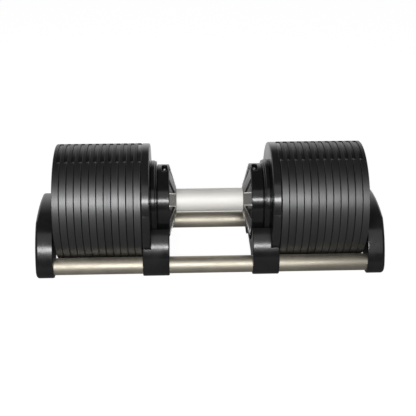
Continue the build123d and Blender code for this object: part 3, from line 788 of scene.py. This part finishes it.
inner_end = RIB_HALF_WIDTH / math.tan(math.pi / RIB_COUNT) + BEAD_RADIUS
outer_end = math.sqrt(CONE_RIM_RADIUS ** 2 - RIB_HALF_WIDTH ** 2) - BEAD_RADIUS
edge_ends = [
    on_cone(side, RIB_TURN + count * math.tau / RIB_COUNT, along, across)
    for side in (-1, 1)
    for count in BRIGHT_RIBS
    for across in (-RIB_HALF_WIDTH, RIB_HALF_WIDTH)
    for along in (inner_end, outer_end)
]
edge_lines = [(first, first + 1) for first in range(0, len(edge_ends), 2)]
print(len(edge_lines), "bright edges,", round(outer_end - inner_end, 4), "m long on the rib")

# %% [markdown]
# Geometry Nodes sweeps a thin round bead along each line. Half of it sinks into the rib, as a
# pressed-in trim does, so it sits on the plastic from every side.

# %% Beads on the bright edges
tree, given, end = new_tool("rib_bead", Radius="Float", Sides="Int")
line = shape(tree, "MeshToCurve", {"Mesh": given["Points"]})
ring = shape(tree, "CurvePrimitiveCircle", {"Resolution": given["Sides"], "Radius": given["Radius"]})
bead = shape(tree, "CurveToMesh", {"Curve": line, "Profile Curve": ring, "Fill Caps": True})
end_tool(tree, given, end, bead)

rib_edges = piece_of(
    "rib_edges", tree, edge_ends, edge_lines,
    Radius=BEAD_RADIUS, Sides=12, Finish=finishes["rib_edges"],
)
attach(rib_edges, "handle")

# %% [markdown]
# A short line between two weights shows in the window when the grip stands between two settings.
# The tool sets a point at the angle of each line, turns a thin bar outwards on it, and sets the
# whole ring on the middle of each drum.

# %% Marks between the numbers
MARK_WIDTH, MARK_LINE = 0.003, 0.0006

tree, given, end = new_tool(
    "drum_marks", Count="Int", Step="Float", First="Float", Radius="Float", Mark="Vector"
)
angle = maths(tree, "MULTIPLY", shape(tree, "InputIndex"), given["Step"])
angle = maths(tree, "ADD", angle, given["First"])
place = combine(
    tree,
    Y=maths(tree, "MULTIPLY", maths(tree, "SINE", angle), given["Radius"]),
    Z=maths(tree, "MULTIPLY", maths(tree, "COSINE", angle), given["Radius"]),
)
ring = shape(tree, "Points", {"Count": given["Count"]})
ring = shape(tree, "SetPosition", {"Geometry": ring, "Position": place})
mark = shape(tree, "MeshCube", {"Size": given["Mark"]})
outward = combine(tree, X=maths(tree, "MULTIPLY", angle, -1.0))
ring = shape(tree, "InstanceOnPoints", {"Points": ring, "Instance": mark, "Rotation": outward})
on_points(tree, given, end, ring)

drum_marks = piece_of(
    "drum_marks", tree, [(side * WINDOW_X, 0, AXIS_HEIGHT) for side in (-1, 1)],
    Count=len(WEIGHTS) - 1, Step=WEIGHT_STEP, First=SEEN_AT + WEIGHT_STEP / 2, Radius=DRUM_RADIUS,
    Mark=(MARK_WIDTH, MARK_LINE, 2 * PRINT_HEIGHT), Finish=finishes["number_paint"],
)
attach(drum_marks, "grip")

# %% [markdown]
# Screws and feet stay where the CAD model has them. Each of their nodes holds eight equal pieces,
# two at every support, so the points of its mesh are sorted by support and by front or rear, and
# the box of each lot gives the place of one piece.

# %% Places of the screws and feet
OUTER_SUPPORT = 0.15


def centres(node):
    """Places of the eight pieces of a node: middle in X and Y, lowest in Z."""
    groups = {}
    for point in nodes[node].data.vertices:
        spot = point.co
        groups.setdefault((spot.x > 0, abs(spot.x) > OUTER_SUPPORT, spot.y > 0), []).append(spot)
    places = []
    for spots in groups.values():
        low, high = (Vector(pick(spot[axis] for spot in spots) for axis in range(3)) for pick in (min, max))
        places.append(((low.x + high.x) / 2, (low.y + high.y) / 2, low.z))
    return places


print("screws at", len(centres("rail_screws")), "places, feet at", len(centres("rubber_feet")))

# %% [markdown]
# The screws go up through the supports into the rails. The CAD screw is a plain stepped pin. Seen
# from below, a real one has a hexagon socket for the key, so a boolean cuts one into a round head.
# The cutter starts below the head, since faces that lie in one plane would spoil the cut.

# %% Screws with hexagon sockets
HEAD_SIDES, SHANK_SIDES, HEXAGON = 40, 24, 6
SOCKET_FLOOR = 0.2  # share of the head's thickness that the socket leaves


def lifted(tree, body, height):
    """A shape moved up by a height."""
    return shape(tree, "Transform", {"Geometry": body, "Translation": combine(tree, Z=height)})


def cylinder(tree, sides, radius, height):
    """Upright cylinder that stands on the origin."""
    body = shape(tree, "MeshCylinder", {"Vertices": sides, "Radius": radius, "Depth": height})
    return lifted(tree, body, maths(tree, "MULTIPLY", height, 0.5))


tree, given, end = new_tool(
    "socket_screw", Head="Float", Thickness="Float", Shank="Float", Length="Float", Socket="Float"
)
head = cylinder(tree, HEAD_SIDES, given["Head"], given["Thickness"])
socket = cylinder(tree, HEXAGON, given["Socket"], given["Thickness"])
socket = lifted(tree, socket, maths(tree, "MULTIPLY", given["Thickness"], -SOCKET_FLOOR))
cut = shape(tree, "MeshBoolean", {"Mesh 1": head, "Mesh 2": socket}, operation="DIFFERENCE")
shank = cylinder(tree, SHANK_SIDES, given["Shank"], given["Length"])
shank = lifted(tree, shank, given["Thickness"])
whole = add(tree, "JoinGeometry", family="GeometryNode")
for body in (cut, shank):
    tree.links.new(body, whole.inputs[0])
on_points(tree, given, end, whole.outputs[0])

socket_screws = piece_of(
    "socket_screws", tree, centres("rail_screws"),
    Head=0.004, Thickness=0.0013, Shank=0.0022, Length=0.0067, Socket=0.0021,
    Finish=finishes["screw_steel"],
)
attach(socket_screws, "cradle")
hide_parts("rail_screws")

# %% [markdown]
# Each support stands on two round rubber feet, with grooves across the sole that keep them from
# sliding. A row of bars, spaced about the middle, is cut out of a round pad in one boolean, so the
# number of grooves is a plain input.

# %% Grooved rubber feet
FOOT_SIDES = 48

tree, given, end = new_tool(
    "grooved_foot", Radius="Float", Height="Float", Grooves="Int", Groove="Vector", Spacing="Float"
)
pad = cylinder(tree, FOOT_SIDES, given["Radius"], given["Height"])
groove = shape(tree, "MeshCube", {"Size": given["Groove"]})
middle = maths(tree, "MULTIPLY", maths(tree, "SUBTRACT", given["Grooves"], 1.0), 0.5)
across = maths(tree, "SUBTRACT", shape(tree, "InputIndex"), middle)
across = maths(tree, "MULTIPLY", across, given["Spacing"])
row = shape(tree, "Points", {"Count": given["Grooves"]})
row = shape(tree, "SetPosition", {"Geometry": row, "Position": combine(tree, X=across)})
row = shape(tree, "InstanceOnPoints", {"Points": row, "Instance": groove})
row = shape(tree, "RealizeInstances", {"Geometry": row})
pad = shape(tree, "MeshBoolean", {"Mesh 1": pad, "Mesh 2": row}, operation="DIFFERENCE")
on_points(tree, given, end, pad)

grooved_feet = piece_of(
    "grooved_feet", tree, centres("rubber_feet"),
    Radius=0.007, Height=0.0035, Grooves=4, Groove=(0.0011, 0.016, 0.0014), Spacing=0.0028,
    Finish=finishes["foot_rubber"],
)
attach(grooved_feet, "cradle")
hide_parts("rubber_feet")
